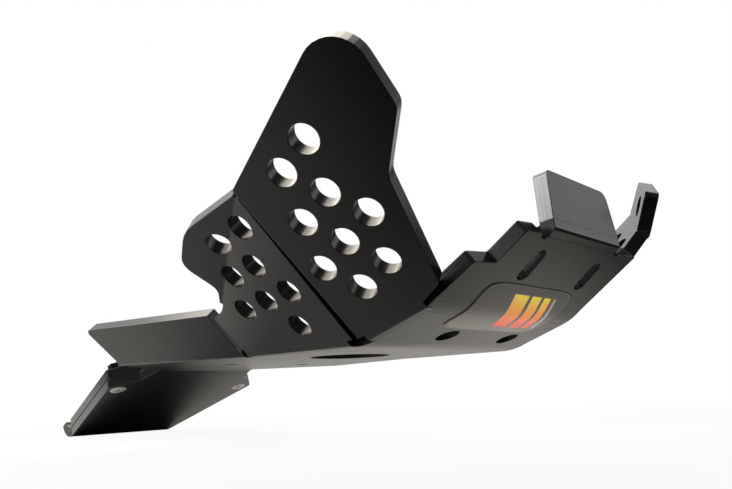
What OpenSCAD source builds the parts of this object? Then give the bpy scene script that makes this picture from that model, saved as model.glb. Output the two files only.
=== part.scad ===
// Skid plate for an enduro motorcycle: one hot-bent plastic sheet with a second
// sheet layer on its tail. X is forward, Y is to the left, Z is up. The origin is
// midway between the two belly mounting holes, on the belly's underside.
// Angles and lengths are given at the underside, where two flat faces would meet.

/* [Sheet] */
// Thickness of the plastic sheet
sheet_t = 8; // [7:0.5:9]
// Outside radius of the sharp folds, which are grooved on the inside first
fold_r = 2.5; // [1:0.5:4]
// Inside radius of the wide folds that cross the plate
cross_r = 22; // [16:1:26]
// Diameter of every lightening hole
light_d = 14.5; // [10:0.5:16]

/* [Belly] */
// Distance from the front fold back to the tail fold
belly_l = 265; // [250:1:290]
// Distance from the front fold back to the belly mounting holes
mount_back = 180; // [165:1:190]
// Distance between the two belly mounting holes
mount_pitch = 68; // [60:1:76]
// Diameter of the belly mounting holes
mount_d = 11; // [8:0.5:13]
// Distance from the hole centre line to the right side fold
near_w = 82; // [78:1:88]
// Distance from the hole centre line to the left side fold
far_w = 66; // [62:1:72]
// Diameter of the oil drain opening
drain_d = 53; // [40:1:56]
// Distance of the oil drain opening behind the front fold
drain_back = 78; // [70:1:86]
// Sideways place of the oil drain opening
drain_y = -12; // [-20:1:0]
// Width of the neck at the tail fold
neck_w = 93; // [80:1:96]

/* [Ramps] */
// Length of the lower ramp
ramp1_l = 48.5; // [46:0.5:56]
// Rise of the lower ramp
ramp1_angle = 18; // [14:1:20]
// Length of the upper ramp
ramp2_l = 57; // [56:0.5:66]
// Further rise of the upper ramp
ramp2_angle = 21; // [18:1:24]
// Diameter of the front mounting holes
front_hole_d = 14; // [10:0.5:16]
// Distance between the front mounting holes
front_hole_pitch = 60; // [52:1:66]
// Distance of the front mounting holes up the lower ramp
front_hole_s = 17.5; // [15:0.5:20]
// Width of the clamp slots
slot_w = 9.5; // [6.5:0.5:10.5]
// Length of the clamp slots
slot_l = 20.5; // [16:0.5:24]
// Distance between the clamp slots
slot_pitch = 61; // [54:1:66]
// Distance of the clamp slots up the upper ramp
slot_s = 33.5; // [31:0.5:35]

/* [Flap] */
// Length of the front flap
flap_l = 32; // [28:1:40]
// Width of the front flap at its root
flap_w = 73; // [66:1:78]
// Width of the front flap at its top edge
flap_top_w = 66; // [58:1:72]
// Further rise of the front flap
flap_angle = 58; // [50:1:62]

/* [Large wing] */
// Fold of the large right wing
wing_angle = 43; // [36:1:50]
// Height of the large wing along its sheet
wing_h = 127; // [122:1:132]
// Lean of the cut between the large and the small wing
slit_lean = 8.4; // [7:0.2:10]
// Hole pitch along the falling rows of the large wing
wing_row = 21; // [19.5:0.5:22]
// Hole pitch from row to row of the large wing
wing_step = 26; // [24.5:0.5:27]

/* [Small wing] */
// Fold of the small wings
small_angle = 46; // [40:1:52]
// Length of the small wings along their fold
small_l = 96; // [92:1:98]
// Height of the small wings along the sheet
small_h = 97.5; // [95:0.5:99]
// Outward fold of the right wing's rear corner
nose_angle = 18; // [14:1:22]
// Radius of that fold
nose_r = 6; // [4:1:8]
// Hole pitch along the rows of the small wings
small_row = 21.7; // [20.5:0.1:22]
// Hole pitch from row to row of the small wings
small_step = 22.4; // [21:0.1:23]

/* [Rails] */
// Fold of the rear rails
rail_angle = 52; // [44:1:60]
// Length of the rails along the plate
rail_run = 104.5; // [98:0.5:110]
// Height of the rails along their sheet
rail_h = 30; // [26:1:34]
// Outward flare of the right rail over its length
near_flare = 30; // [26:1:33]
// Outward flare of the left rail over its length
far_flare = 25; // [20:1:30]

/* [Ear] */
// Fold of the left front ear along the ramp
ear_angle = 34; // [28:1:38]
// Fold of the ear's front strip
ear_lip_angle = 32; // [26:1:36]
// Width of the ear's front strip
ear_lip_w = 26; // [22:1:30]
// Reach of the ear from its root fold
ear_reach = 62.5; // [58:0.5:66]

/* [Tail] */
// Drop of the tail below the belly
tail_angle = 20; // [14:1:26]
// Length of the tail to the start of its curled lip
tail_l = 158; // [148:1:170]
// Width of the tail at its front corners
tail_w = 142; // [136:1:150]
// Width of the tail at its rear edge
tail_end_w = 102; // [92:1:110]
// Distance of the front corners behind the tail fold
tail_corner = 38; // [36:1:42]
// Outside radius of the curled rear lip
lip_r = 18; // [16.5:0.5:22]
// Sweep of the curled rear lip
lip_angle = 80; // [70:1:88]
// Distance of the liner screws behind the tail fold
screw_s = 43; // [42:1:56]
// Distance between the liner screws
screw_pitch = 121; // [108:1:122]

/* [Fasteners] */
// Thread diameter of the liner screws
screw_d = 6; // [5:0.5:6]
// Head diameter of the liner screws
head_d = 13; // [11:0.5:13.5]
// Clearance round a screw in its hole
screw_gap = 0.3; // [0.2:0.05:0.4]
// Outside diameter of the washers
washer_d = 12; // [11:0.5:14]
// Thickness of the washers
washer_t = 1.6; // [1.2:0.1:2]
// Width of the nuts across their flats
nut_w = 10; // [9:0.5:11]
// Height of the nuts
nut_h = 5; // [4:0.5:6]

/* [Decal] */
// Thickness of the decal film
film_t = 0.3; // [0.2:0.1:0.5]
// Width of the decal film
film_w = 88; // [80:1:94]
// Length of the decal film up the ramps
film_l = 42; // [36:1:44]
// Sideways place of the decal film
film_y = -8; // [-14:1:0]

/* [Hidden] */
$fn = 48;
cross_out = cross_r + sheet_t;
front_x = mount_back;
tail_x = mount_back - belly_l;
ramp1_sb = cross_out * tan(ramp1_angle / 2);
ramp2_sb = cross_out * tan(ramp2_angle / 2);
tail_sb = cross_r * tan(tail_angle / 2);
nose_sb = nose_r * tan(nose_angle / 2);
// flat sheet left beside the groove of a sharp fold
fold_land = 0.8;
function fold_sb(angle) = sheet_t * tan(angle / 2) + fold_land;
flap_sb = fold_sb(flap_angle);
wing_sb = fold_sb(wing_angle);
small_sb = fold_sb(small_angle);
rail_sb = fold_sb(rail_angle);
ear_sb = fold_sb(ear_angle);
lip_fold_sb = fold_sb(ear_lip_angle);
slit_half = 2;
bend_thin = 0.06;
bend_reach = 2;
rail_near = [[front_x - small_l, -near_w], [front_x - small_l - rail_run, -near_w - near_flare]];
rail_far = [[front_x - small_l, far_w], [front_x - small_l - rail_run, far_w + far_flare]];
ramp_top = ramp2_l - flap_sb;
ramp_far = far_w - 9;
ear_root = [[6, ramp_far], [ramp2_l - 4, far_w - 2.5]];
stack_t = 2 * sheet_t;

// Outline helpers: each corner of a polygon gets an arc of its own radius
function unit(v) = v / norm(v);
function corner_arc(a, b, c, r) =
  let(u = unit(a - b), w = unit(c - b), half = acos(max(-1, min(1, u * w))) / 2,
      reach = r / tan(half), mid = b + unit(u + w) * r / sin(half),
      p = b + u * reach - mid, turn = (u[0] * w[1] - u[1] * w[0]) > 0 ? -1 : 1,
      start = atan2(p[1], p[0]), sweep = 180 - 2 * half, n = max(3, ceil(sweep / 12)))
  [for (i = [0:n]) mid + r * [cos(start + turn * sweep * i / n), sin(start + turn * sweep * i / n)]];
function rounded(pts, radii) =
  [for (i = [0:len(pts) - 1])
    each radii[i] == 0 ? [pts[i]]
      : corner_arc(pts[(i + len(pts) - 1) % len(pts)], pts[i], pts[(i + 1) % len(pts)], radii[i])];

// Section of a bend: a ring sector between two angles. The heated sheet draws a little
// thinner and narrower there, and the sector reaches slightly into the flat faces at both ends.
module arc_band(r_in, r_out, from, to, thin = bend_thin) {
  far = 2 * r_out;
  low = from - bend_reach;
  high = to + bend_reach;
  mid = (low + high) / 2;
  intersection() {
    difference() {
      circle(r = r_out - thin);
      circle(r = r_in + thin);
    }
    polygon([[0, 0], far * [cos(low), sin(low)], far * [cos(mid), sin(mid)], far * [cos(high), sin(high)]]);
  }
}

// Moves its children to a fold across the plate and tilts what lies beyond it
module cross_fold(x, angle) translate([x, 0, 0]) rotate([0, -angle, 0]) children();

// The bent strip of a wide upward fold across the plate, its sharp corner at X = 0
module cross_bend(y_low, y_high, angle) {
  translate([-cross_out * tan(angle / 2), y_high - bend_thin, cross_out]) rotate([90, 0, 0])
    linear_extrude(y_high - y_low - 2 * bend_thin) arc_band(cross_r, cross_out, -90, angle - 90);
}

// Section of a sharp fold: two short legs that meet in a mitre, rounded on the outside
module fold_section(angle) {
  leg = fold_sb(angle) + fold_land / 2;
  low = bend_thin;
  high = sheet_t - bend_thin;
  along = leg * [cos(angle), sin(angle)];
  up = [-sin(angle), cos(angle)];
  polygon(concat(
    [[-leg, low]],
    corner_arc([-leg, low], [-low * tan(angle / 2), low], along + low * up, fold_r),
    [along + low * up, along + high * up, [-high * tan(angle / 2), high], [-leg, high]]));
}

// Local axes on a side fold: X runs from p to q, Y points outward, Z to the inside
module on_edge(p, q) translate([p[0], p[1], 0]) rotate([0, 0, atan2(q[1] - p[1], q[0] - p[0])]) children();
module folded(angle) rotate([angle, 0, 0]) children();

// The strip of a sharp inward side fold from X = x_low to X = x_high
module side_fold(x_low, x_high, angle) {
  translate([x_low + bend_thin, 0, 0]) rotate([90, 0, 90])
    linear_extrude(x_high - x_low - 2 * bend_thin) fold_section(angle);
}

// The strip of a sharp upward fold across the plate
module flap_fold(y_low, y_high, angle) {
  translate([0, y_high - bend_thin, 0]) rotate([90, 0, 0])
    linear_extrude(y_high - y_low - 2 * bend_thin) fold_section(angle);
}

// The bent strip of an outward side fold
module side_bend_out(x_low, x_high, angle) {
  translate([x_low + bend_thin, -nose_sb, -nose_r]) rotate([90, 0, 90])
    linear_extrude(x_high - x_low - 2 * bend_thin) arc_band(nose_r, nose_r + sheet_t, 90 - angle, 90);
}

module sheet() linear_extrude(sheet_t) children();

module light_holes(list) for (p = list) translate(p) circle(d = light_d);

// Belly: flat middle of the plate with the drain opening and two mounting holes. Its
// side edges stay clear of the folds, and bend where the rails flare out.
function rail_start(p, turn, y) = [p[0] + (y - p[1]) / tan(turn), y];
module belly() {
  turn_near = atan2(near_flare, rail_run);
  turn_far = atan2(far_flare, rail_run);
  shift_near = rail_sb * [sin(turn_near), cos(turn_near)];
  shift_far = rail_sb * [sin(turn_far), -cos(turn_far)];
  y_near = -near_w + small_sb;
  y_far = far_w - small_sb;
  sheet() difference() {
    polygon([
      [front_x - ramp1_sb, y_near],
      [front_x - ramp1_sb, y_far],
      rail_start(rail_far[0] + shift_far, -turn_far, y_far),
      rail_far[1] + shift_far,
      [tail_x + tail_sb, neck_w / 2],
      [tail_x + tail_sb, -neck_w / 2],
      rail_near[1] + shift_near,
      rail_start(rail_near[0] + shift_near, turn_near, y_near),
    ]);
    translate([front_x - drain_back, drain_y]) circle(d = drain_d);
    for (side = [-1, 1]) translate([0, side * mount_pitch / 2]) circle(d = mount_d);
  }
}

// Lower ramp with the two front mounting holes
module lower_ramp() {
  sheet() difference() {
    polygon([
      [ramp1_sb, -near_w + wing_sb],
      [ramp1_l - ramp2_sb, -near_w + wing_sb],
      [ramp1_l - ramp2_sb, ramp_far],
      [ramp1_sb, far_w - small_sb],
    ]);
    for (side = [-1, 1]) translate([front_hole_s, side * front_hole_pitch / 2]) circle(d = front_hole_d);
  }
}

// Upper ramp: stepped right edge, clamp slots and a relief cut beside the flap
module upper_ramp() {
  root = ear_root[0];
  top = ear_root[1];
  inward = ear_sb * unit([top[1] - root[1], root[0] - top[0]]);
  sheet() difference() {
    polygon(concat(
      rounded([
        [ramp2_sb, -near_w],
        [29.2, -near_w + 6.5],
        [31, -near_w + 22.5],
        [ramp_top - 0.3, -near_w + 26],
        [ramp_top + 0.7, -flap_w / 2 - 6.5],
        [ramp_top - 2, -flap_w / 2 - 5],
        [ramp_top - 2, -flap_w / 2 - 1.5],
        [ramp_top, -flap_w / 2]], [0, 2, 1.5, 1.5, 1, 1, 1, 0]),
      [[ramp_top, flap_w / 2],
        [ramp_top - 2, flap_w / 2 + 2],
        [top[0] - 1, flap_w / 2 + 6],
        top + inward,
        root + inward,
        [ramp2_sb, ramp_far]]));
    for (side = [-1, 1]) translate([slot_s, side * slot_pitch / 2]) {
      translate([(slot_w - slot_l) / 2, 0]) circle(d = slot_w);
      translate([(slot_l - slot_w) / 2, 0]) circle(d = slot_w);
      square([slot_l - slot_w, slot_w], center = true);
    }
  }
}

// Front flap, folded up from the top edge of the upper ramp
module flap() {
  sheet() polygon(rounded([
    [flap_sb, -flap_w / 2],
    [flap_l, -flap_top_w / 2],
    [flap_l, flap_top_w / 2],
    [flap_sb, flap_w / 2]], [0, 3, 6, 0]));
}

// Large right wing. Its outline is drawn with X forward from the front fold.
wing_rows = [[0, 0], [0, 1], [1, 0], [1, 1], [1, 2], [2, 0], [2, 1], [2, 2], [3, 1]];
wing_along = wing_row * [0.44, -0.898];
wing_across = wing_step * [0.442, 0.897];
wing_first = [19.5, 45];
module large_wing() {
  lean = tan(slit_lean);
  mirror([1, 0, 0]) sheet() difference() {
    polygon(rounded([
      [wing_sb * lean + slit_half, wing_sb],
      [(wing_h - 26.6) * lean, wing_h - 26.6],
      [113.5, wing_h],
      [105.4, wing_h - 45.8],
      [80.8, wing_h - 65.4],
      [61.5, wing_sb + 3.4],
      [ramp1_l, wing_sb]], [0, 2, 15, 8, 10, 4, 0]));
    light_holes([for (k = wing_rows) wing_first + k[0] * wing_across + k[1] * wing_along]);
  }
}

// Small wing, drawn with X rearward from the front fold
small_rows = [[0, 0], [1, 0], [1, 1], [1, -1], [2, 0], [2, -1], [3, -2]];
small_along = small_row * [0.99, -0.144];
small_up = small_step * [0.522, 0.853];
small_first = [32.5, 17.5];
crease = [[13.5, small_h], [84.8, 38]];
heel = [98.5, 31.5];
small_edge = [slit_half + 0.14 * small_sb, small_sb];
module small_wing() {
  back = unit(crease[1] - crease[0]);
  inset = nose_sb * [back[1], -back[0]];
  sheet() difference() {
    polygon(rounded([
      small_edge,
      crease[0] + inset,
      crease[1] + inset,
      [crease[1][0] + 3.5, heel[1] + 3],
      heel,
      [small_l - slit_half, small_sb]], [0, 1, 0, 3, 1.5, 0]));
    small_pattern();
  }
}

module small_pattern() {
  light_holes([for (k = small_rows) small_first + k[0] * small_up + k[1] * small_along]);
}

// Rear corner of the right small wing, folded outward along a diagonal crease
module at_crease() translate([crease[0][0], crease[0][1], 0])
  rotate([0, 0, atan2(crease[1][1] - crease[0][1], crease[1][0] - crease[0][0])]) children();
module small_wing_nose() {
  nose_l = norm(crease[1] - crease[0]) - 4;
  at_crease() {
    side_bend_out(1, nose_l, nose_angle);
    rotate([-nose_angle, 0, 0]) sheet() polygon(rounded([
      [1, nose_sb],
      [37.5, 24],
      [65, 24.6],
      [77, 3],
      [nose_l, nose_sb]], [0, 26, 12, 9, 0]));
  }
}

// The hole that crosses the crease, and the pattern carried through the bent strip
module nose_holes() {
  at_crease() rotate([-nose_angle, 0, 0]) translate([38.5, 5.1, -sheet_t]) cylinder(h = 3 * sheet_t, d = light_d);
  intersection() {
    translate([0, 0, -sheet_t]) linear_extrude(3 * sheet_t) small_pattern();
    at_crease() translate([0, -nose_sb - 1, -sheet_t]) cube([small_h, 2 * light_d, 3 * sheet_t]);
  }
}

// The same wing on the left side keeps its rear corner flat
module small_wing_plain() {
  sheet() difference() {
    polygon(rounded([
      small_edge,
      [crease[0][0], small_h],
      [small_l - 34, small_h - 17],
      [small_l - 25, small_h - 44],
      [crease[1][0] + 3.5, heel[1] + 3],
      heel,
      [small_l - slit_half, small_sb]], [0, 4, 16, 10, 3, 1.5, 0]));
    small_pattern();
  }
}

// Rear rail, with X rearward from the end of the small wing, its front edge leaning back
rail_front = slit_half + 1;
rail_rise = 1.5;
module rail(edge_l) {
  sheet() polygon(rounded([
    [rail_front + 0.39 * rail_sb, rail_sb],
    [rail_front + 0.39 * rail_h, rail_h + rail_rise],
    [edge_l + 10, rail_h],
    [edge_l + 11, rail_h - 3],
    [edge_l + 1.5, rail_sb + 3],
    [edge_l, rail_sb]], [0, 1.5, 1.5, 1.5, 4, 0]));
}

// Left front ear: a wing on the upper ramp whose front strip is folded again
module ear() {
  root_l = norm(ear_root[1] - ear_root[0]);
  on_front = [root_l + 14.5, 12];
  off_front = [root_l + 18.5, ear_reach];
  strip_l = norm(on_front - off_front);
  forward = unit(on_front - off_front);
  inset = lip_fold_sb * [forward[1], -forward[0]];
  on_edge(ear_root[0], ear_root[1]) {
    side_fold(0, root_l, ear_angle);
    folded(ear_angle) {
      sheet() difference() {
        polygon([
          [0, ear_sb],
          [root_l, ear_sb],
          on_front + inset,
          off_front + inset,
          [root_l - 2, ear_reach - 4],
        ]);
        light_holes([[root_l - 3, 18], [root_l - 3, 39]]);
      }
      translate([off_front[0], off_front[1], 0])
        rotate([0, 0, atan2(forward[1], forward[0])]) {
          side_fold(0, strip_l, ear_lip_angle);
          folded(ear_lip_angle) sheet() difference() {
            polygon(rounded([
              [0, lip_fold_sb],
              [strip_l, lip_fold_sb],
              [strip_l - 2.5, ear_lip_w],
              [3, ear_lip_w]], [0, 0, 4, 6]));
            translate([strip_l - 19, ear_lip_w / 2 + 1]) circle(d = light_d - 1);
          }
        }
    }
  }
}

// Tail of the main sheet: narrow neck, spread corners and curled rear lip
tail_notch = 21;
module tail() {
  sheet() difference() {
    polygon(rounded([
      [-tail_sb, -neck_w / 2],
      [-tail_notch, -neck_w / 2 - 4],
      [-tail_corner, -tail_w / 2],
      [-tail_l, -tail_end_w / 2],
      [-tail_l, tail_end_w / 2],
      [-tail_corner, tail_w / 2],
      [-tail_notch, neck_w / 2 + 4],
      [-tail_sb, neck_w / 2]], [0, 8, 2, 0, 0, 2, 8, 0]));
    for (side = [-1, 1]) translate([-screw_s, side * screw_pitch / 2]) circle(d = screw_d + 2 * screw_gap);
  }
  translate([-tail_l, tail_end_w / 2 - bend_thin, lip_r]) rotate([90, 0, 0])
    linear_extrude(tail_end_w - 2 * bend_thin) arc_band(lip_r - sheet_t, lip_r, -90 - lip_angle, -90);
}

module countersinks() {
  head_h = (head_d - screw_d) / 2 + screw_gap;
  for (side = [-1, 1]) translate([-screw_s, side * screw_pitch / 2, -0.01])
    cylinder(h = head_h, d1 = head_d + 2 * screw_gap, d2 = screw_d + 2 * screw_gap);
}

// The whole main sheet, cut and folded
module main_plate() color("#2a292a") {
  belly();
  // folds that run along the belly
  on_edge([front_x, -near_w], rail_near[0]) {
    side_fold(slit_half + ramp1_sb, small_l - slit_half, small_angle);
    folded(small_angle) difference() {
      union() {
        small_wing();
        small_wing_nose();
      }
      nose_holes();
    }
  }
  mirror([0, 1, 0]) on_edge([front_x, -far_w], [rail_far[0][0], -rail_far[0][1]]) {
    side_fold(slit_half + ramp1_sb, small_l - slit_half, small_angle);
    folded(small_angle) small_wing_plain();
  }
  near_l = norm(rail_near[1] - rail_near[0]);
  on_edge(rail_near[0], rail_near[1]) {
    side_fold(slit_half, near_l, rail_angle);
    folded(rail_angle) rail(near_l);
  }
  far_l = norm(rail_far[1] - rail_far[0]);
  mirror([0, 1, 0]) on_edge([rail_far[0][0], -rail_far[0][1]], [rail_far[1][0], -rail_far[1][1]]) {
    side_fold(slit_half, far_l, rail_angle);
    folded(rail_angle) rail(far_l);
  }
  // ramps, one folded up from the other
  translate([front_x, 0, 0]) cross_bend(-near_w + small_sb, far_w - small_sb, ramp1_angle);
  cross_fold(front_x, ramp1_angle) {
    lower_ramp();
    on_edge([ramp1_l, -near_w], [0, -near_w]) {
      side_fold(1, ramp1_l - slit_half - ramp1_sb, wing_angle);
      translate([ramp1_l, 0, 0]) folded(wing_angle) large_wing();
    }
    translate([ramp1_l, 0, 0]) cross_bend(-near_w, ramp_far, ramp2_angle);
    cross_fold(ramp1_l, ramp2_angle) {
      upper_ramp();
      ear();
      translate([ramp2_l, 0, 0]) flap_fold(-flap_w / 2, flap_w / 2, flap_angle);
      cross_fold(ramp2_l, flap_angle) flap();
    }
  }
  // tail, folded down from the belly
  tail_at() difference() {
    tail();
    countersinks();
  }
  translate([tail_x + tail_sb, neck_w / 2 - bend_thin, -cross_r]) rotate([90, 0, 0])
    linear_extrude(neck_w - 2 * bend_thin) arc_band(cross_r, cross_out, 90, 90 + tail_angle);
}

module tail_at() cross_fold(tail_x, tail_angle) children();

// Second sheet layer that lies on the inner side of the tail
module tail_liner() color("#333233") tail_at() translate([0, 0, sheet_t]) sheet() difference() {
  polygon(rounded([
    [-tail_notch, -neck_w / 2 - 4],
    [-tail_corner, -tail_w / 2],
    [-tail_l, -tail_end_w / 2],
    [-tail_l, tail_end_w / 2],
    [-tail_corner, tail_w / 2],
    [-tail_notch, neck_w / 2 + 4]], [6, 2, 0, 0, 2, 6]));
  for (side = [-1, 1]) translate([-screw_s, side * screw_pitch / 2]) circle(d = screw_d + 2 * screw_gap);
}

// Countersunk socket screws that clamp the liner to the tail
module liner_screws() color("silver") tail_at() for (side = [-1, 1])
  translate([-screw_s, side * screw_pitch / 2, 0]) {
    head_h = (head_d - screw_d) / 2;
    difference() {
      union() {
        cylinder(h = head_h, d1 = head_d, d2 = screw_d);
        cylinder(h = stack_t + washer_t + nut_h + 2, d = screw_d);
      }
      translate([0, 0, -1]) cylinder(h = 3.5, d = screw_d * 2 / 3, $fn = 6);
    }
  }

module liner_washers() color("lightgrey") tail_at() for (side = [-1, 1])
  translate([-screw_s, side * screw_pitch / 2, stack_t]) difference() {
    cylinder(h = washer_t, d = washer_d);
    translate([0, 0, -1]) cylinder(h = washer_t + 2, d = screw_d + 2 * screw_gap);
  }

module liner_nuts() color("lightgrey") tail_at() for (side = [-1, 1])
  translate([-screw_s, side * screw_pitch / 2, stack_t + washer_t]) difference() {
    cylinder(h = nut_h, d = nut_w / cos(30), $fn = 6);
    translate([0, 0, -1]) cylinder(h = nut_h + 2, d = screw_d + 0.1);
  }

// Printed film on the underside of both ramps, following the fold between them
module decal() color("#c8a060") {
  start = ramp1_l - film_l / 2;
  cross_fold(front_x, ramp1_angle) {
    translate([start, film_y - film_w / 2, -film_t]) cube([ramp1_l - ramp2_sb - start, film_w, film_t]);
    translate([ramp1_l - ramp2_sb, film_y + film_w / 2 - bend_thin, cross_out]) rotate([90, 0, 0])
      linear_extrude(film_w - 2 * bend_thin) arc_band(cross_out, cross_out + film_t, -90, ramp2_angle - 90);
    cross_fold(ramp1_l, ramp2_angle) translate([ramp2_sb, film_y - film_w / 2, -film_t])
      cube([film_l / 2 - ramp2_sb, film_w, film_t]);
  }
}

main_plate();
tail_liner();
liner_screws();
liner_washers();
liner_nuts();
decal();
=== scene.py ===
import math
import bmesh
import bpy
import numpy as np
from mathutils import Matrix, Vector
from mathutils.bvhtree import BVHTree


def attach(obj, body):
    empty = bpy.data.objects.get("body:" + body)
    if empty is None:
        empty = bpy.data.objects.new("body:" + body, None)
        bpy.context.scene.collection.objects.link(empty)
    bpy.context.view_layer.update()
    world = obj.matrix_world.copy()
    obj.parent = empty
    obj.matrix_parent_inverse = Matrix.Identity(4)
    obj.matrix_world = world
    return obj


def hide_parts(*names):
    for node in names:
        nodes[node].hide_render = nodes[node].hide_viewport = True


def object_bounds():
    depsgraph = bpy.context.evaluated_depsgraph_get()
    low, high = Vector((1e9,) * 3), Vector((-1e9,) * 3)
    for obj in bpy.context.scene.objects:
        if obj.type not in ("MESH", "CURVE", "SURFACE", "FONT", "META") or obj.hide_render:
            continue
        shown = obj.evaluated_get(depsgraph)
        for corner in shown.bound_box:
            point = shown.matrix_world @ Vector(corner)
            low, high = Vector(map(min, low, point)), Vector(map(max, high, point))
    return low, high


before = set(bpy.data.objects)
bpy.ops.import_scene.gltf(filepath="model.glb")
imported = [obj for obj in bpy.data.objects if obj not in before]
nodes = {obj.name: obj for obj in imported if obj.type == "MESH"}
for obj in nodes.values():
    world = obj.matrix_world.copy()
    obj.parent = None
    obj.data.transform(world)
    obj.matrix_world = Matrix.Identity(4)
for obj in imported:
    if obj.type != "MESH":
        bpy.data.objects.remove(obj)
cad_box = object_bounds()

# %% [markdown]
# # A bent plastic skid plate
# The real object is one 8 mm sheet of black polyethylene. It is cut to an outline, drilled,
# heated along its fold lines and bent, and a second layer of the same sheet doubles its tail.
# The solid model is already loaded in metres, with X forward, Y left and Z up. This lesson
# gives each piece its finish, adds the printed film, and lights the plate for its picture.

MM = 0.001
WHITE = (1, 1, 1, 1)


def srgb(text):
    """A colour written as an sRGB hex string becomes the linear RGBA that shaders work in."""
    parts = np.array([int(text[i:i + 2], 16) for i in (1, 3, 5)]) / 255
    linear = np.where(parts <= 0.04045, parts / 12.92, ((parts + 0.055) / 1.055) ** 2.4)
    return (*linear, 1.0)


def add(tree, kind, inputs=None, **settings):
    """Adds one node. Settings that name an input fill its socket, the others are properties.
    Inputs maps an input's name or number to the output that feeds it, or to its fixed value."""
    node = tree.nodes.new(kind)
    for name, value in settings.items():
        if hasattr(node, name):
            setattr(node, name, value)
        else:
            node.inputs[name.replace("_", " ")].default_value = value
    for name, value in (inputs or {}).items():
        if isinstance(value, bpy.types.NodeSocket):
            tree.links.new(value, node.inputs[name])
        else:
            node.inputs[name].default_value = value
    return node


def new_finish(name):
    """A new material and its node tree, which is still empty."""
    finish = bpy.data.materials.new(name)
    finish.use_nodes = True
    finish.node_tree.nodes.clear()
    return finish, finish.node_tree


def new_object(name, data):
    """A new object that shows data, linked to the scene."""
    made = bpy.data.objects.new(name, data)
    bpy.context.scene.collection.objects.link(made)
    return made


print("nodes:", ", ".join(sorted(nodes)))

# %% [markdown]
# ## Camera
# A photo can be undone into a camera: the rims of the drilled holes, the fold lines and the
# corners are where they are in the picture for one place and one lens only. The camera sits
# in front of the plate, on its right side and a little below the belly, and looks slightly up.

# %% Camera
CAMERA_AT = Vector((419.5, -326.9, -22.05)) * MM
LENS = 32.775
RIGHT = Vector((0.7191, 0.6939, -0.0366)).normalized()
UP = Vector((0.1738, -0.1287, 0.9763)).normalized()
BACK = RIGHT.cross(UP).normalized()
camera_data = bpy.data.cameras.new("studio_camera")
camera_data.sensor_fit = "HORIZONTAL"
camera_data.sensor_width = 36
camera_data.lens = LENS
camera_data.clip_start = 0.01
camera = new_object("studio_camera", camera_data)
turn = Matrix((RIGHT, BACK.cross(RIGHT), BACK)).transposed().to_4x4()
camera.matrix_world = Matrix.Translation(CAMERA_AT) @ turn
bpy.context.scene.camera = camera
print("camera:", [round(c / MM) for c in camera.location], "mm, lens", LENS)

# %% [markdown]
# ## Floor
# Black plastic shows hardly any colour of its own: what the eye reads is the soft reflection
# of the room. A product photographer surrounds it with white paper and large soft boxes. The
# paper floor lies just under the curled lip of the tail.

# %% Floor
FLOOR_Z = cad_box[0][2] - 0.5 * MM
REACH = 4.0
floor_mesh = bpy.data.meshes.new("paper_floor")
corners = [(x * REACH, y * REACH, FLOOR_Z) for x, y in ((-1, -1), (1, -1), (1, 1), (-1, 1))]
floor_mesh.from_pydata(corners, [], [(0, 1, 2, 3)])
floor = new_object("paper_floor", floor_mesh)
print("floor at", round(FLOOR_Z / MM, 1), "mm")

# %% [markdown]
# ## White paper
# To the camera the paper is plain white, and the plate still throws its shadow on it. The
# plate's underside mirrors the paper near it, so painted shade in the paper's colour shows there:
# where the painted paper is light, the belly and the ramps are light too. A shade is a distance
# along some direction, mapped to a brightness, and the same two nodes shade the room later.

# %% White paper
TO_LIGHT = (-0.95, 0.3, 0)
TO_FRONT = (0.8, 0.6, 0)
TO_BACK = (-0.8, 0.6, 0)
# centre of the pool of light painted on the paper
PAINTED_POOL_CENTRE = (0.19, 0.075, FLOOR_Z)


def slope(tree, vector, direction, start, end, low=0.0, high=1.0):
    """Two nodes: how far vector reaches along direction, mapped from start..end to low..high."""
    along = add(tree, "ShaderNodeVectorMath", {0: vector, 1: direction}, operation="DOT_PRODUCT")
    mapped = add(tree, "ShaderNodeMapRange", {0: along.outputs["Value"]},
                 From_Min=start, From_Max=end, To_Min=low, To_Max=high)
    return mapped.outputs[0]


paper, tree = new_finish("white_paper")
ray = add(tree, "ShaderNodeLightPath").outputs
spot = add(tree, "ShaderNodeTexCoord").outputs["Object"]
# painted shade: the paper's colour is light behind the plate, as if the table were lit from
# behind, and falls off in two steps into shade on the right of the plate
shade_far = slope(tree, spot, TO_LIGHT, -0.29, -0.19, 0.02, 0.34)
shade_near = slope(tree, spot, TO_LIGHT, -0.06, 0.0, 0.0, 0.30)
shade = add(tree, "ShaderNodeMath", {0: shade_far, 1: shade_near}, operation="ADD")
# painted shade: the paper's colour is darker beyond both ends of the plate as well
shade_front = slope(tree, spot, TO_FRONT, 0.24, 0.38, 1.0, 0.25)
shade_behind = slope(tree, spot, TO_BACK, 0.06, 0.17, 1.0, 0.65)
ends = add(tree, "ShaderNodeMath", {0: shade_front, 1: shade_behind}, operation="MULTIPLY")
# the paper's colour carries the painted shade of all four slopes
painted_shade_tint = add(tree, "ShaderNodeMath", {0: shade.outputs[0], 1: ends.outputs[0]}, operation="MULTIPLY")
shaded = add(tree, "ShaderNodeBsdfDiffuse", {"Color": painted_shade_tint.outputs[0]})
# painted light: a pool of glow on the paper under the ramps, as if a lamp below the table
# shone through it
off_pool_centre = add(tree, "ShaderNodeVectorMath", {0: spot, 1: PAINTED_POOL_CENTRE}, operation="DISTANCE")
pool = add(tree, "ShaderNodeMapRange", {0: off_pool_centre.outputs["Value"]},
           From_Min=0.07, From_Max=0.24, To_Min=0.52, To_Max=0.0)
painted_pool_glow = add(tree, "ShaderNodeEmission", {"Strength": pool.outputs[0]}, Color=srgb("#fffaf0"))
paper_with_painted_light = add(tree, "ShaderNodeAddShader", {0: shaded.outputs[0], 1: painted_pool_glow.outputs[0]})
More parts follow.
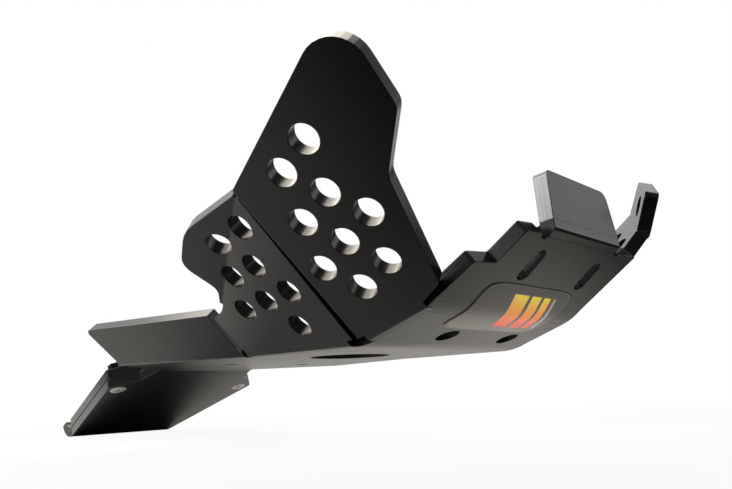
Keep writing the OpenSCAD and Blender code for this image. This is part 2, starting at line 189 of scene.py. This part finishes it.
# close to the plate the paper keeps its shadow, and far from it there is only white
away = add(tree, "ShaderNodeVectorMath", {0: spot}, operation="LENGTH")
fade = add(tree, "ShaderNodeMapRange", {0: away.outputs["Value"]},
           From_Min=0.30, From_Max=0.60, To_Min=0.94, To_Max=1.0)
clear = add(tree, "ShaderNodeMath", {0: ray["Is Camera Ray"], 1: ray["Is Transmission Ray"]},
            operation="MAXIMUM")
direct = add(tree, "ShaderNodeMath", {0: clear.outputs[0], 1: fade.outputs[0]}, operation="MULTIPLY")
# a reflection sees white paper too, where the table runs up to the backdrop
backdrop = slope(tree, spot, TO_LIGHT, 0.6, 1.2)
share = add(tree, "ShaderNodeMath", {0: ray["Is Glossy Ray"], 1: backdrop, 2: direct.outputs[0]},
            operation="MULTIPLY_ADD")
plain = add(tree, "ShaderNodeEmission", Color=WHITE, Strength=1.0)
blend = add(tree, "ShaderNodeMixShader", {0: share.outputs[0], 1: paper_with_painted_light.outputs[0], 2: plain.outputs[0]})
add(tree, "ShaderNodeOutputMaterial", {0: blend.outputs[0]})
floor_mesh.materials.append(paper)
print("paper:", len(tree.nodes), "nodes")

# %% [markdown]
# ## White room
# The world is the rest of the room. Its light comes from where the paper hangs, and the plate's
# sides take their tones from it. A wide and even light would turn every cut wall grey, so the
# bright part of the room is kept narrow.

# %% White room
TO_PAPER = (-0.58, 0.42, 0.70)
TO_CARD = (0.415, 0.86, 0.297)
world = bpy.data.worlds.new("white_room")
bpy.context.scene.world = world
world.use_nodes = True
tree = world.node_tree
tree.nodes.clear()
ray = add(tree, "ShaderNodeLightPath").outputs
way = add(tree, "ShaderNodeTexCoord").outputs["Generated"]
# the paper hangs behind and above the plate, the side of the photographer is darker
room = slope(tree, way, TO_PAPER, 0.62, 0.88, 0.10, 0.95)
# a white card stands low on the left of the plate
card = slope(tree, way, TO_CARD, 0.93, 0.985, 0.0, 0.50)
walls = add(tree, "ShaderNodeMath", {0: room, 1: card}, operation="ADD")
clear = add(tree, "ShaderNodeMath", {0: ray["Is Camera Ray"], 1: ray["Is Transmission Ray"]},
            operation="MAXIMUM")
# metal and gloss see the white paper where it hangs
hung = slope(tree, way, TO_PAPER, 0.84, 0.90)
share = add(tree, "ShaderNodeMath", {0: ray["Is Glossy Ray"], 1: hung, 2: clear.outputs[0]},
            operation="MULTIPLY_ADD")
shown = add(tree, "ShaderNodeMix", {"Factor": share.outputs[0], 2: walls.outputs[0], 3: 1.0},
            data_type="FLOAT")
light = add(tree, "ShaderNodeBackground", {1: shown.outputs[0]}, Color=WHITE)
add(tree, "ShaderNodeOutputWorld", {0: light.outputs[0]})
print("room:", len(tree.nodes), "nodes")

# %% [markdown]
# ## Soft boxes
# Each wall of the plate mirrors one part of the room. A large warm box overhead lights the cut
# walls that look up, a weak one stands at the front left, and a strong one stands behind on the
# right, which the flap's bright cut edge mirrors.

# %% Soft boxes
def soft_box(name, place, aim, size, power, colour="#ffffff"):
    """A rectangular lamp at place (mm) that faces the point aim (mm); size is its two edges in mm."""
    lamp = bpy.data.lights.new(name, "AREA")
    lamp.shape = "RECTANGLE"
    lamp.size, lamp.size_y = (s * MM for s in size)
    lamp.energy = power
    lamp.color = srgb(colour)[:3]
    box = new_object(name, lamp)
    box.location = Vector(place) * MM
    box.rotation_euler = (Vector(aim) - Vector(place)).to_track_quat("-Z", "Y").to_euler()
    print(name, "of", power, "W")


soft_box("overhead_box", (-450, 0, 1350), (0, 0, 0), (1500, 1500), 27, "#fff6e4")
soft_box("front_left_box", (1050, 950, 560), (150, 0, 60), (1000, 900), 1.9)
soft_box("right_box", (-620, -950, 860), (264, -35, 70), (620, 620), 20)

# %% [markdown]
# ## One merged mesh
# The finishes are shared out over a copy of the solid. Its triangles come with points of their
# own, so points at one place are first made one. What a shader should know about a point, such
# as how deep in the sheet it lies, is kept on the point as a named attribute.

# %% Reading, merging and remembering
MERGE = 0.002 * MM


def read(items, name, width=1, kind=float):
    """One property of all items of a mesh: rows of width numbers, or a flat array for width 1."""
    values = np.empty(len(items) * width, dtype=kind)
    items.foreach_get(name, values)
    return values.reshape(-1, width) if width > 1 else values


def remember(mesh, name, values, kind="FLOAT"):
    """Gives each point of a mesh a number, or a vector, that shaders read under its name."""
    field = "value" if kind == "FLOAT" else "vector"
    held = mesh.attributes.new(name, kind, "POINT").data
    held.foreach_set(field, values.astype(np.float32).ravel())


def merged(source, name):
    """A copy of a mesh of triangles, with one point for all those whose place divided by MERGE
    rounds to the same whole numbers. Triangles that lose a corner are left out."""
    points = read(source.vertices, "co", 3)
    key = np.round(points / MERGE).astype(np.int64)
    _, first, where = np.unique(key, axis=0, return_index=True, return_inverse=True)
    ring = where.ravel()[read(source.loops, "vertex_index", kind=int)].reshape(-1, 3)
    ring = ring[(ring != np.roll(ring, 1, axis=1)).all(axis=1)]
    mesh = bpy.data.meshes.new(name)
    mesh.from_pydata(points[first], [], ring)
    mesh.validate()
    return mesh


print("points closer than", round(MERGE / MM, 3), "mm become one")

# %% [markdown]
# ## Which faces are sheet and which are cut
# A plate of this kind has two skins. The sheet's own faces are smooth from the extruder's
# rollers. The outline and the holes are cut by a router, which leaves a duller wall with fine
# lines along the cut. A ray sent straight into the plastic tells them apart: from a sheet
# face it comes out after one thickness. The copy takes the two finishes, and each
# point of it remembers whether it lies on the outer or the inner side, and whether it lies in
# the plane where the tail and its liner meet. The broken arrises of the two sheets leave a
# dark line there.

# %% Sorting faces and dressing the plate
SHEET_T = 8 * MM
PANEL_AREA = 30 * MM * MM
ENGINE = np.array([80, 0, 200]) * MM
TAIL_TURN = math.radians(20)
TAIL_FOLD = np.array([-85, 0, 0]) * MM
TAIL_AXES = np.array([[math.cos(TAIL_TURN), 0, math.sin(TAIL_TURN)],
                      [0, 1, 0],
                      [-math.sin(TAIL_TURN), 0, math.cos(TAIL_TURN)]])
LINER_START = -20 * MM
THINNEST, THICKEST, FREE = 0.95 * SHEET_T, 1.18 * SHEET_T, 2 * SHEET_T
SAME_WAY, SAME_PLANE_MM = 0.99998, 0.03
RAY_START = 0.01 * MM
NOTHING_MET = 1.0


def sheet_faces(mesh):
    """True for each face of the sheet's two skins. A ray runs from the centre of a face against
    its normal; the face is sheet if the ray leaves after one sheet thickness, a little more
    where a fold is mitred, and nothing stands close before the face, as the other wall of a
    hole does. A face whose normal n and distance n . p are those of a large sheet face is
    sheet too: it lies in the same panel."""
    centres = read(mesh.polygons, "center", 3)
    normals = read(mesh.polygons, "normal", 3)
    ring = read(mesh.loops, "vertex_index", kind=int).reshape(-1, 3)
    solid = BVHTree.FromPolygons([Vector(p) for p in read(mesh.vertices, "co", 3)], ring.tolist())
    is_sheet = np.zeros(len(centres), dtype=bool)
    for i, (centre, normal) in enumerate(zip(centres, normals)):
        through = solid.ray_cast(Vector(centre - normal * RAY_START), Vector(-normal))[3] or NOTHING_MET
        before = solid.ray_cast(Vector(centre + normal * RAY_START), Vector(normal))[3] or NOTHING_MET
        is_sheet[i] = THINNEST < through < THICKEST and before > FREE
    # the groove behind a fold thins the sheet there, so only its panel's plane tells
    offset = (normals * centres).sum(axis=1) / MM
    wide = read(mesh.polygons, "area") > PANEL_AREA
    planes = np.column_stack([normals, offset])[is_sheet & wide]
    for plane in np.unique(np.round(planes, 3), axis=0):
        is_sheet |= (normals @ plane[:3] > SAME_WAY) & (np.abs(offset - plane[3]) < SAME_PLANE_MM)
    return is_sheet


def dress_sheet(node, name, face_finish, cut_finish):
    """A merged copy of a CAD node with a finish for its sheet faces and one for its cut walls.
    Point attribute depth is 0 outside and 1 on the engine's side, and joint is 1 where the
    height over the tail's outer face is one sheet thickness."""
    mesh = merged(nodes[node].data, name)
    is_sheet = sheet_faces(mesh)
    to_engine = ENGINE - read(mesh.polygons, "center", 3)
    inner = (to_engine * read(mesh.polygons, "normal", 3)).sum(axis=1) > 0
    ring = read(mesh.loops, "vertex_index", kind=int).reshape(-1, 3)
    depth = np.zeros(len(mesh.vertices))
    depth[ring[is_sheet & inner].ravel()] = 1
    remember(mesh, "depth", depth)
    in_tail = (read(mesh.vertices, "co", 3) - TAIL_FOLD) @ TAIL_AXES.T
    joint = (np.abs(in_tail[:, 2] - SHEET_T) < 0.02 * MM) & (in_tail[:, 0] < LINER_START)
    remember(mesh, "joint", joint)
    mesh.materials.append(face_finish)
    mesh.materials.append(cut_finish)
    mesh.polygons.foreach_set("material_index", (~is_sheet).astype(np.int32))
    piece = new_object(name, mesh)
    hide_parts(node)
    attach(piece, "root")
    print(name, len(ring), "triangles,", int((~is_sheet).sum()), "on cut walls")
    return piece


# %% [markdown]
# ## Broken arris
# Edges catch the light because the router's arris is broken by hand and rubs pale in use. The
# Bevel node stands for it without changing the shape: it gives the normal of a rounded edge,
# and where that leaves the true normal there is an edge. There a paler tone is mixed into the
# colour, which is partly the pale rub and partly a painted highlight.

# %% Broken arris
ROUND = 0.7 * MM


def broken_arris(tree):
    """Nodes for an edge of radius ROUND: the rounded normal, and a share of edge that rises from
    0 to 1 as the product of the rounded and the true normal falls from 0.995 to 0.85."""
    rounded = add(tree, "ShaderNodeBevel", samples=6, Radius=ROUND).outputs[0]
    true = add(tree, "ShaderNodeNewGeometry").outputs["True Normal"]
    agree = add(tree, "ShaderNodeVectorMath", {0: rounded, 1: true}, operation="DOT_PRODUCT")
    edge = add(tree, "ShaderNodeMapRange", {0: agree.outputs["Value"]},
               From_Min=0.995, From_Max=0.85, To_Min=0.0, To_Max=1.0)
    return rounded, edge.outputs[0]


def worn_edge_and_highlight_tone(tree, cloud, edge, tones):
    """Two mixes: from the first tone to the second by cloud, and then by edge to the third, a paler
    tone that is partly worn edge and partly painted highlight.
    """
    tone = add(tree, "ShaderNodeMix", {"Factor": cloud, 6: srgb(tones[0]), 7: srgb(tones[1])},
               data_type="RGBA")
    edge_wear_and_highlight = add(tree, "ShaderNodeMix", {"Factor": edge, 6: tone.outputs[2], 7: srgb(tones[2])},
              data_type="RGBA")
    return edge_wear_and_highlight.outputs[2]


print("arris:", round(ROUND / MM, 1), "mm")

# %% [markdown]
# ## Black polyethylene
# High-density polyethylene is a waxy plastic: its gloss is soft, never hard. Rollers leave a
# faint orange peel a millimetre or so across, and the sheet is never perfectly flat, so long
# reflections waver. Handling adds hair scratches. The liner's sheet is a little duller.

# %% Sheet face finish
# the third tone is the paler edge: partly wear, partly painted highlight
SHEET_TONES = ("#111011", "#171617", "#2c2a2a")
HAIR = (70 * MM, 0.7 * MM, 0.9 * MM)
HAIR_TURN = (0.1, 0.15, 0.5)
PEEL, PEEL_H, CLOUD = 1.6 * MM, 0.02 * MM, 45 * MM


def plastic(name, roughness):
    """Black polyethylene: colour cloud, paler edges that are partly worn and partly painted highlight,
    orange peel and hair scratches. The noise of the scratches is stretched to HAIR's three lengths
    and turned by HAIR_TURN."""
    made, tree = new_finish(name)
    place = add(tree, "ShaderNodeTexCoord").outputs["Object"]
    cloud = add(tree, "ShaderNodeTexNoise", {"Vector": place}, Scale=1 / CLOUD, Detail=3.0)
    peel = add(tree, "ShaderNodeTexNoise", {"Vector": place}, Scale=1 / PEEL, Detail=2.0)
    stretched = add(tree, "ShaderNodeMapping", {"Vector": place},
                    Scale=[1 / length for length in HAIR], Rotation=HAIR_TURN)
    hairs = add(tree, "ShaderNodeTexNoise", {"Vector": stretched.outputs[0]}, Scale=1.0, Detail=2.0)
    scratch = add(tree, "ShaderNodeMapRange", {0: hairs.outputs[0]}, From_Min=0.66, From_Max=0.8)
    dull = add(tree, "ShaderNodeMapRange", {0: scratch.outputs[0]},
               To_Min=roughness, To_Max=roughness + 0.2)
    rounded, edge = broken_arris(tree)
    heights = add(tree, "ShaderNodeMath", {0: peel.outputs[0], 1: cloud.outputs[0]}, operation="MULTIPLY")
    bump = add(tree, "ShaderNodeBump", {"Height": heights.outputs[0], "Normal": rounded},
               Distance=PEEL_H, Strength=1.0)
    skin = add(tree, "ShaderNodeBsdfPrincipled",
               {"Base Color": worn_edge_and_highlight_tone(tree, cloud.outputs[0], edge, SHEET_TONES),
                "Roughness": dull.outputs[0], "Normal": bump.outputs[0]}, IOR=1.5)
    add(tree, "ShaderNodeOutputMaterial", {0: skin.outputs[0]})
    return made


sheet_face = plastic("extruded_black_polyethylene", 0.3)
liner_face = plastic("extruded_black_polyethylene_liner", 0.32)
print("sheet finishes:", sheet_face.name, "and", liner_face.name)

# %% [markdown]
# ## Routed edge
# A router leaves a matt wall. Its teeth draw fine lines along the cut, one over the other
# through the thickness, so the pattern is read from the depth that each point remembers.

# %% Cut wall finish
# the third tone is the paler edge: partly wear, partly painted highlight
CUT_TONES = ("#0f0f0f", "#1e1d1d", "#383634")
CUT_GROOVE = 0.025 * MM


def routed(name):
    """Cut polyethylene: the lines are noise in space and in the depth through the sheet, which
    changes much faster, so that they run along the cut. The joint of two sheets has no gloss."""
    made, tree = new_finish(name)
    place = add(tree, "ShaderNodeTexCoord").outputs["Object"]
    depth = add(tree, "ShaderNodeAttribute", attribute_name="depth").outputs["Fac"]
    # about a dozen lines in 8 mm; real ones are finer than the picture can show
    lines = add(tree, "ShaderNodeTexNoise", {"Vector": place, "W": depth},
                noise_dimensions="4D", Scale=12.0, Detail=3.0)
    rough = add(tree, "ShaderNodeMapRange", {0: lines.outputs[0]}, To_Min=0.14, To_Max=0.26)
    rounded, edge = broken_arris(tree)
    bump = add(tree, "ShaderNodeBump", {"Height": lines.outputs[0], "Normal": rounded}, Distance=CUT_GROOVE)
    joint = add(tree, "ShaderNodeAttribute", attribute_name="joint").outputs["Fac"]
    gloss = add(tree, "ShaderNodeMapRange", {0: joint},
                From_Min=0.89, From_Max=0.94, To_Min=0.5, To_Max=0.0)
    skin = add(tree, "ShaderNodeBsdfPrincipled",
               {"Base Color": worn_edge_and_highlight_tone(tree, lines.outputs[0], edge, CUT_TONES),
                "Roughness": rough.outputs[0], "Normal": bump.outputs[0],
                "Specular IOR Level": gloss.outputs[0]}, IOR=1.5)
    add(tree, "ShaderNodeOutputMaterial", {0: skin.outputs[0]})
    return made


sheet_cut = routed("routed_black_polyethylene")
plate = dress_sheet("main_plate", "plate_sheet", sheet_face, sheet_cut)
liner = dress_sheet("tail_liner", "liner_layer", liner_face, sheet_cut)

# %% [markdown]
# ## Plated fasteners
# The two screws are bright zinc: a thin silver skin over turned and pressed steel. It is a
# metal, so its colour is its reflection, slightly grey and uneven. Their washers and nuts are
# black zinc, which no eye looks for between the engine and the tail.

# %% Plating
ZINC_CLOUD, ZINC_GRAIN, GRAIN_H, STEEL_ROUND = 3 * MM, 0.4 * MM, 0.01 * MM, 0.25 * MM


def plated(name, dark, light, roughness):
    """Metal plating: a cloudy tone between two colours, and a grain in its roughness and height."""
    made, tree = new_finish(name)
    place = add(tree, "ShaderNodeTexCoord").outputs["Object"]
    cloud = add(tree, "ShaderNodeTexNoise", {"Vector": place}, Scale=1 / ZINC_CLOUD, Detail=3.0)
    grain = add(tree, "ShaderNodeTexNoise", {"Vector": place}, Scale=1 / ZINC_GRAIN, Detail=2.0)
    tone = add(tree, "ShaderNodeMix", {"Factor": cloud.outputs[0], 6: srgb(dark), 7: srgb(light)},
               data_type="RGBA")
    rough = add(tree, "ShaderNodeMapRange", {0: grain.outputs[0]},
                To_Min=roughness - 0.1, To_Max=roughness + 0.1)
    rounded = add(tree, "ShaderNodeBevel", Radius=STEEL_ROUND)
    bump = add(tree, "ShaderNodeBump", {"Height": grain.outputs[0], "Normal": rounded.outputs[0]},
               Distance=GRAIN_H)
    skin = add(tree, "ShaderNodeBsdfPrincipled",
               {"Base Color": tone.outputs[2], "Roughness": rough.outputs[0],
                "Normal": bump.outputs[0]}, Metallic=1.0)
    add(tree, "ShaderNodeOutputMaterial", {0: skin.outputs[0]})
    return made


bright_zinc = plated("bright_zinc", "#b9b8b4", "#e6e5e1", 0.5)
for node, dark, light in (("liner_washers", "#232326", "#35353a"), ("liner_nuts", "#1b1b1d", "#2e2e32")):
    finish = plated("black_zinc_" + node, dark, light, 0.4)
    for slot in nodes[node].material_slots:
        slot.material = finish
    print(node, "in", finish.name)

# %% [markdown]
# ## Rings into surfaces
# The screws and the film are both a stack of rings, and neighbouring rings are joined by
# quads. A stack that starts and ends in a ring of radius 0 is closed once its poles are merged.

# %% Rings into surfaces
def ring_quads(rows, turns):
    """Point numbers of the quads between ring i and ring i + 1, for rows rings of turns points:
    point k of ring i is number i * turns + k, and after the last point comes the first."""
    row, here = np.meshgrid(np.arange(rows - 1), np.arange(turns), indexing="ij")
    beside = (here + 1) % turns
    low, high = row * turns, (row + 1) * turns
    return np.stack([low + here, low + beside, high + beside, high + here], axis=-1).reshape(-1, 4)


def close_up(mesh, smooth_deg):
    """Merges poles and double points, turns the faces outwards and shades them smooth up to an angle."""
    work = bmesh.new()
    work.from_mesh(mesh)
    bmesh.ops.remove_doubles(work, verts=work.verts, dist=0.001 * MM)
    bmesh.ops.recalc_face_normals(work, faces=work.faces)
    for edge in work.edges:
        edge.smooth = edge.calc_face_angle(math.pi) < math.radians(smooth_deg)
    work.to_mesh(mesh)
    work.free()
    mesh.polygons.foreach_set("use_smooth", np.ones(len(mesh.polygons), dtype=bool))


print("a ring of 4 and its neighbour give", len(ring_quads(2, 4)), "quads")

# %% [markdown]
# ## Screw thread
# A screw is a stack of rings. Around each ring the radius depends on the height z and the
# angle a: the M6 thread has a pitch of 1 mm, so its groove sits where z / pitch - a / 2 pi is
# halfway between two whole numbers, and the radius falls there by the thread's depth. The
# groove runs out towards the head. The socket is a ring whose radius follows a hexagon.

# %% Countersunk socket screws
SCREW_R, HEAD_R, HEAD_H, SCREW_L, PITCH = 3.0, 6.5, 3.5, 24.6, 1.0
SOCKET_R, SOCKET_H, DRILL_H = 2.0, 2.4, 2.9
THREAD_H, RUN_OUT, CHAMFER = 0.55, 3.0, 0.6
HEAD_TOP, FACE_SHARE, RIM_TOP, RIM_LOW, NECK = 0.02, 0.94, 0.15, 0.4, 0.3
SOCKET_EDGE, SOCKET_WIDER, TIP_GAP = 0.12, 0.1, 0.05
SCREW_BACK, SCREW_SIDE = -43, 60.5
AROUND = 72


def hexagon(angle, corner):
    """Radius of a hexagon with the given corner radius: r = corner cos 30 / cos(a mod 60 - 30)."""
    return corner * math.cos(math.pi / 6) / np.cos(angle % (math.pi / 3) - math.pi / 6)


def screw_rings(angle):
    """Rings of (radius, height) in mm from the bottom of the socket to the tip. A radius is one
    number, or an array over the angle."""
    socket = hexagon(angle, SOCKET_R)
    rings = [(0, DRILL_H), (socket, SOCKET_H), (socket, SOCKET_EDGE),
             (hexagon(angle, SOCKET_R + SOCKET_WIDER), HEAD_TOP), (HEAD_R * FACE_SHARE, HEAD_TOP),
             (HEAD_R, RIM_TOP), (HEAD_R, RIM_LOW), (SCREW_R, HEAD_H + NECK)]
    for height in np.arange(HEAD_H + 1, SCREW_L - CHAMFER, PITCH / 10):
        phase = height / PITCH - angle / (2 * math.pi)
        groove = np.clip(1.25 * (1 - np.abs(2 * (phase % 1) - 1)) - 0.12, 0, 1)
        full = np.clip((height - HEAD_H - 1) / RUN_OUT, 0, 1)
        rings.append((SCREW_R - THREAD_H * full * groove, height))
    return rings + [(SCREW_R - CHAMFER, SCREW_L - TIP_GAP), (0, SCREW_L - TIP_GAP)]


def ring_stack(angle, rings, centre):
    """Points of rings about the tail's own Z axis through centre (mm, tail axes)."""
    radius = np.array([np.broadcast_to(r, angle.shape) for r, _ in rings])
    height = np.broadcast_to([[z] for _, z in rings], radius.shape)
    x = centre[0] + radius * np.cos(angle)
    y = centre[1] + radius * np.sin(angle)
    local = np.stack([x, y, height], axis=-1).reshape(-1, 3)
    return TAIL_FOLD + (local * MM) @ TAIL_AXES


angle = np.linspace(0, 2 * math.pi, AROUND, endpoint=False)
rings = screw_rings(angle)
points = [ring_stack(angle, rings, (SCREW_BACK, side * SCREW_SIDE)) for side in (-1, 1)]
quads = [ring_quads(len(rings), AROUND) + len(points[0]) * i for i in range(len(points))]
screw_mesh = bpy.data.meshes.new("socket_screws")
screw_mesh.from_pydata(np.concatenate(points), [], np.concatenate(quads))
close_up(screw_mesh, smooth_deg=35)
screw_mesh.materials.append(bright_zinc)
screws = new_object("socket_screws", screw_mesh)
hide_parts("liner_screws")
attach(screws, "root")
print("screws:", len(screw_mesh.polygons), "faces, thread pitch", PITCH, "mm")

# %% [markdown]
# ## Printed film
# A printed film lies over the bend of the ramps, with slanted bars in warm colours on a silver
# field. On the real object it is a thin vinyl film with a clear coat, pressed on by hand, so it
# is one smooth sheet that follows the bend. Its outline is a rounded rectangle worked out in
# polar form, which closes at its centre, and its top is 0.3 mm above the plastic. The same
# sweep goes over the rim and back below, so the film is a closed form.

# %% Film laid over the bend
RAMP_LOW, RAMP_HIGH = math.radians(18), math.radians(18 + 21)
RAMP_START = np.array([180, 0]) * MM
LOW_RAMP_L = 48.5 * MM
BEND_R = 30 * MM
FILM_T, FILM_GAP = 0.3 * MM, 0.02 * MM
FILM_HALF = np.array([44, 21]) * MM
FILM_Y = -8 * MM
SQUARE = 7
TOP_RINGS, BACK_RINGS, FILM_AROUND = 26, 8, 144


def ramp_skin(along, lift):
    """Points (x, z) on the underside of the ramps at the distance along from the middle of
    their bend, lift outside it. The line is straight, then a circle of radius BEND_R that
    turns from RAMP_LOW to RAMP_HIGH, then straight again."""
    half = BEND_R * (RAMP_HIGH - RAMP_LOW) / 2
    turned = RAMP_LOW + (np.clip(along, -half, half) + half) / BEND_R
    tangent = np.array([math.cos(RAMP_LOW), math.sin(RAMP_LOW)])
    start = RAMP_START + (LOW_RAMP_L - BEND_R * math.tan((RAMP_HIGH - RAMP_LOW) / 2)) * tangent
    centre = start + BEND_R * np.array([-tangent[1], tangent[0]])
    x = centre[0] + (BEND_R + lift) * np.sin(turned)
    z = centre[1] - (BEND_R + lift) * np.cos(turned)
    beyond = along - np.clip(along, -half, half)
    return x + beyond * np.cos(turned), z + beyond * np.sin(turned)


def film_mesh():
    """Rings of a rounded rectangle |x|^7 + |y|^7 = r^7 by angle, over the top and back below.
    Point attribute print is the place on the film in mm, and r."""
    ring = np.concatenate([np.linspace(0, 1, TOP_RINGS), [1], np.linspace(1, 0, BACK_RINGS)])[:, None]
    lift = np.where(np.arange(len(ring)) < TOP_RINGS, FILM_T, FILM_GAP)[:, None]
    angle = np.linspace(0, 2 * math.pi, FILM_AROUND, endpoint=False)
    rounded = np.abs(np.cos(angle)) ** SQUARE + np.abs(np.sin(angle)) ** SQUARE
    grown = ring / rounded ** (1 / SQUARE)
    across = FILM_HALF[0] * grown * np.cos(angle)
    along = FILM_HALF[1] * grown * np.sin(angle)
    x, z = ramp_skin(along, lift)
    points = np.stack([x, FILM_Y + across, z], axis=-1).reshape(-1, 3)
    mesh = bpy.data.meshes.new("printed_film")
    mesh.from_pydata(points, [], ring_quads(*along.shape))
    on_film = [across / MM, along / MM, np.broadcast_to(ring, along.shape)]
    remember(mesh, "print", np.stack(on_film, axis=-1), "FLOAT_VECTOR")
    return mesh


film = new_object("printed_film", film_mesh())
close_up(film.data, smooth_deg=180)
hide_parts("decal")
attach(film, "root")
print("film:", len(film.data.polygons), "faces")

# %% [markdown]
# ## Print
# The design is drawn from the film's own millimetres, so it bends with the film. A slanted
# coordinate decides whether a point lies in one of the bars, and the height on the film gives
# the bar its colour, from red below to yellow above. The field round the bars is a thin silver
# ink that darkens upwards. The clear coat wavers a little where it was pressed on by hand.

# %% Print finish
BARS = ((-9, 5), (8, 18), (21, 28))
THIN_LINE = ((31, 34),)
SLANT = (1.0, 0.45, 0.0)
DESIGN_HALF, BAR_HALF, FLAME_HALF, FIELD_HALF = 60, 14.5, 16, 21
FLAME = ((-16, "#e8341c"), (-6, "#ff6a24"), (3, "#ff9c1c"), (13, "#ffdc20"))
FIELD = ((-21, "#a09c94"), (-8, "#75726e"), (6, "#4a4848"), (20, "#343334"))
WAVE, WAVE_H, RUB = 9 * MM, 0.05 * MM, 6 * MM
# the bars' painted glow, as a share of their colour
PAINTED_INK_GLOW = 0.32


def colour_ramp(tree, value, stops, half, between="LINEAR"):
    """A ramp over -half..half: stops holds (position, sRGB colour) in order, from -half on."""
    share = add(tree, "ShaderNodeMapRange", {0: value}, From_Min=-half, From_Max=half)
    ramp = add(tree, "ShaderNodeValToRGB", {0: share.outputs[0]})
    ramp.color_ramp.interpolation = between
    marks = ramp.color_ramp.elements
    marks.remove(marks[1])
    marks[0].color = srgb(stops[0][1])
    for at, colour in stops[1:]:
        marks.new((at + half) / (2 * half)).color = srgb(colour)
    return ramp.outputs[0]


def stripes(tree, value, spans):
    """1 where value lies in one of the spans, else 0: flat colours that change at their ends."""
    stops = [(-DESIGN_HALF, "#000000")]
    for start, end in spans:
        stops += [(start, "#ffffff"), (end, "#000000")]
    return colour_ramp(tree, value, stops, DESIGN_HALF, "CONSTANT")


vinyl, tree = new_finish("printed_vinyl_film")
spot = add(tree, "ShaderNodeAttribute", attribute_name="print").outputs["Vector"]
parts = add(tree, "ShaderNodeSeparateXYZ", {0: spot}).outputs
slant = add(tree, "ShaderNodeVectorMath", {0: spot, 1: SLANT}, operation="DOT_PRODUCT").outputs["Value"]
height = add(tree, "ShaderNodeMath", {0: parts["Y"]}, operation="ABSOLUTE")
short = add(tree, "ShaderNodeMath", {0: height.outputs[0], 1: BAR_HALF}, operation="LESS_THAN")
flame = colour_ramp(tree, parts["Y"], FLAME, FLAME_HALF)
field = colour_ramp(tree, parts["Y"], FIELD, FIELD_HALF)
in_bar = add(tree, "ShaderNodeMath", {0: stripes(tree, slant, BARS), 1: short.outputs[0]},
             operation="MULTIPLY")
in_line = add(tree, "ShaderNodeMath", {0: stripes(tree, slant, THIN_LINE), 1: short.outputs[0]},
              operation="MULTIPLY")
rim = add(tree, "ShaderNodeMapRange", {0: parts["Z"]}, From_Min=0.945, From_Max=0.955)
place = add(tree, "ShaderNodeTexCoord").outputs["Object"]
rubbed = add(tree, "ShaderNodeTexNoise", {"Vector": place}, Scale=1 / RUB, Detail=2.0)
worn = add(tree, "ShaderNodeMapRange", {0: rubbed.outputs[0]},
           From_Min=0.45, From_Max=0.8, To_Min=0.0, To_Max=0.15)
# the layers of ink, each laid over the last: bars, thin line, dark rim, wear
ink = field
layers = [(in_bar, flame), (in_line, srgb("#dcdbd6")), (rim, srgb("#6e6b68")), (worn, srgb("#4c4946"))]
for share, colour in layers:
    ink = add(tree, "ShaderNodeMix", {"Factor": share.outputs[0], 6: ink, 7: colour},
              data_type="RGBA").outputs[2]
waver = add(tree, "ShaderNodeTexNoise", {"Vector": place}, Scale=1 / WAVE, Detail=1.0)
press = add(tree, "ShaderNodeBump", {"Height": waver.outputs[0]}, Distance=WAVE_H)
coat = add(tree, "ShaderNodeMapRange", {0: rubbed.outputs[0]}, To_Min=0.26, To_Max=0.34)
# painted light: the bars glow in their own colours, brighter than the light that falls on them
bright = add(tree, "ShaderNodeMath", {0: in_bar.outputs[0], 1: PAINTED_INK_GLOW}, operation="MULTIPLY")
skin = add(tree, "ShaderNodeBsdfPrincipled",
           {"Base Color": ink, "Roughness": coat.outputs[0], "Normal": press.outputs[0],
            "Emission Color": flame, "Emission Strength": bright.outputs[0]})
add(tree, "ShaderNodeOutputMaterial", {0: skin.outputs[0]})
film.data.materials.append(vinyl)
print("print:", len(BARS), "bars")

# %% [markdown]
# ## View
# The picture's white stays plain with the Standard view.

# %% View for the picture
bpy.context.scene.view_settings.view_transform = "Standard"
bpy.context.view_layer.update()
